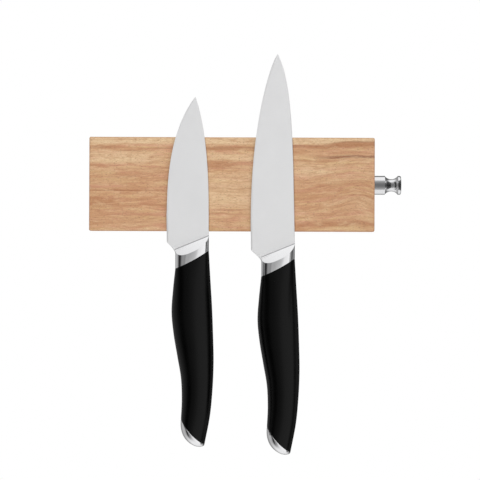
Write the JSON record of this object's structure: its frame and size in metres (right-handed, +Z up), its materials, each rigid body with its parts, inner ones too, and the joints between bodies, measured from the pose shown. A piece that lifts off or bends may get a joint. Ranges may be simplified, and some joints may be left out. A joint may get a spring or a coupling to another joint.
{
  "type": "magnetic knife rack with knives",
  "caption": "Wall-hung wooden magnetic rack holding a paring knife and a utility knife flat on its front, with a waisted steel peg on its right end.",
  "frame": {"origin": "on the wall plane, midway between the two keyholes at the rack's mid-height", "axes": "+X along the rack towards the peg, +Y into the wall, +Z up; the knives are on the -Y side"},
  "size_m": [0.1955, 0.0293, 0.2499],
  "materials": {
    "board_wood": "light acacia, oiled satin, grain along the length",
    "magnet_nickel": "nickel-plated neodymium disc",
    "yoke_steel": "plain mild steel strip",
    "screw_steel": "bright zinc-plated steel",
    "hanger_steel": "zinc-plated steel sheet",
    "pad_silicone": "pale grey silicone",
    "peg_steel": "turned and polished stainless steel",
    "stud_steel": "plain steel threaded stud",
    "insert_brass": "plain brass",
    "blade_steel": "satin-ground stainless steel",
    "bolster_steel": "polished stainless steel",
    "cap_steel": "polished stainless steel",
    "core_plastic": "plain moulded plastic",
    "grip_plastic": "satin black moulded plastic"
  },
  "bodies": {
    "rack": {"board": "board_wood", "magnet_1": "magnet_nickel", "magnet_2": "magnet_nickel", "magnet_3": "magnet_nickel", "magnet_4": "magnet_nickel", "magnet_5": "magnet_nickel", "magnet_6": "magnet_nickel", "yoke_plate": "yoke_steel", "yoke_screws": "screw_steel", "hanger_plate": "hanger_steel", "hanger_screws": "screw_steel", "wall_pad_1": "pad_silicone", "wall_pad_2": "pad_silicone", "wall_pad_3": "pad_silicone", "wall_pad_4": "pad_silicone", "peg": "peg_steel", "peg_stud": "stud_steel", "peg_insert": "insert_brass"},
    "paring_knife": {"paring_blade": "blade_steel", "paring_bolster": "bolster_steel", "paring_core": "core_plastic", "paring_grip": "grip_plastic", "paring_end_cap": "cap_steel"},
    "utility_knife": {"utility_blade": "blade_steel", "utility_bolster": "bolster_steel", "utility_core": "core_plastic", "utility_grip": "grip_plastic", "utility_end_cap": "cap_steel"}
  },
  "joints": [
    {"name": "paring_pull_off", "type": "slide", "parent": "rack", "child": "paring_knife", "axis": [0, -1, 0], "range_m": [0, 0.08]},
    {"name": "utility_pull_off", "type": "slide", "parent": "rack", "child": "utility_knife", "axis": [0, -1, 0], "range_m": [0, 0.08]}
  ]
}
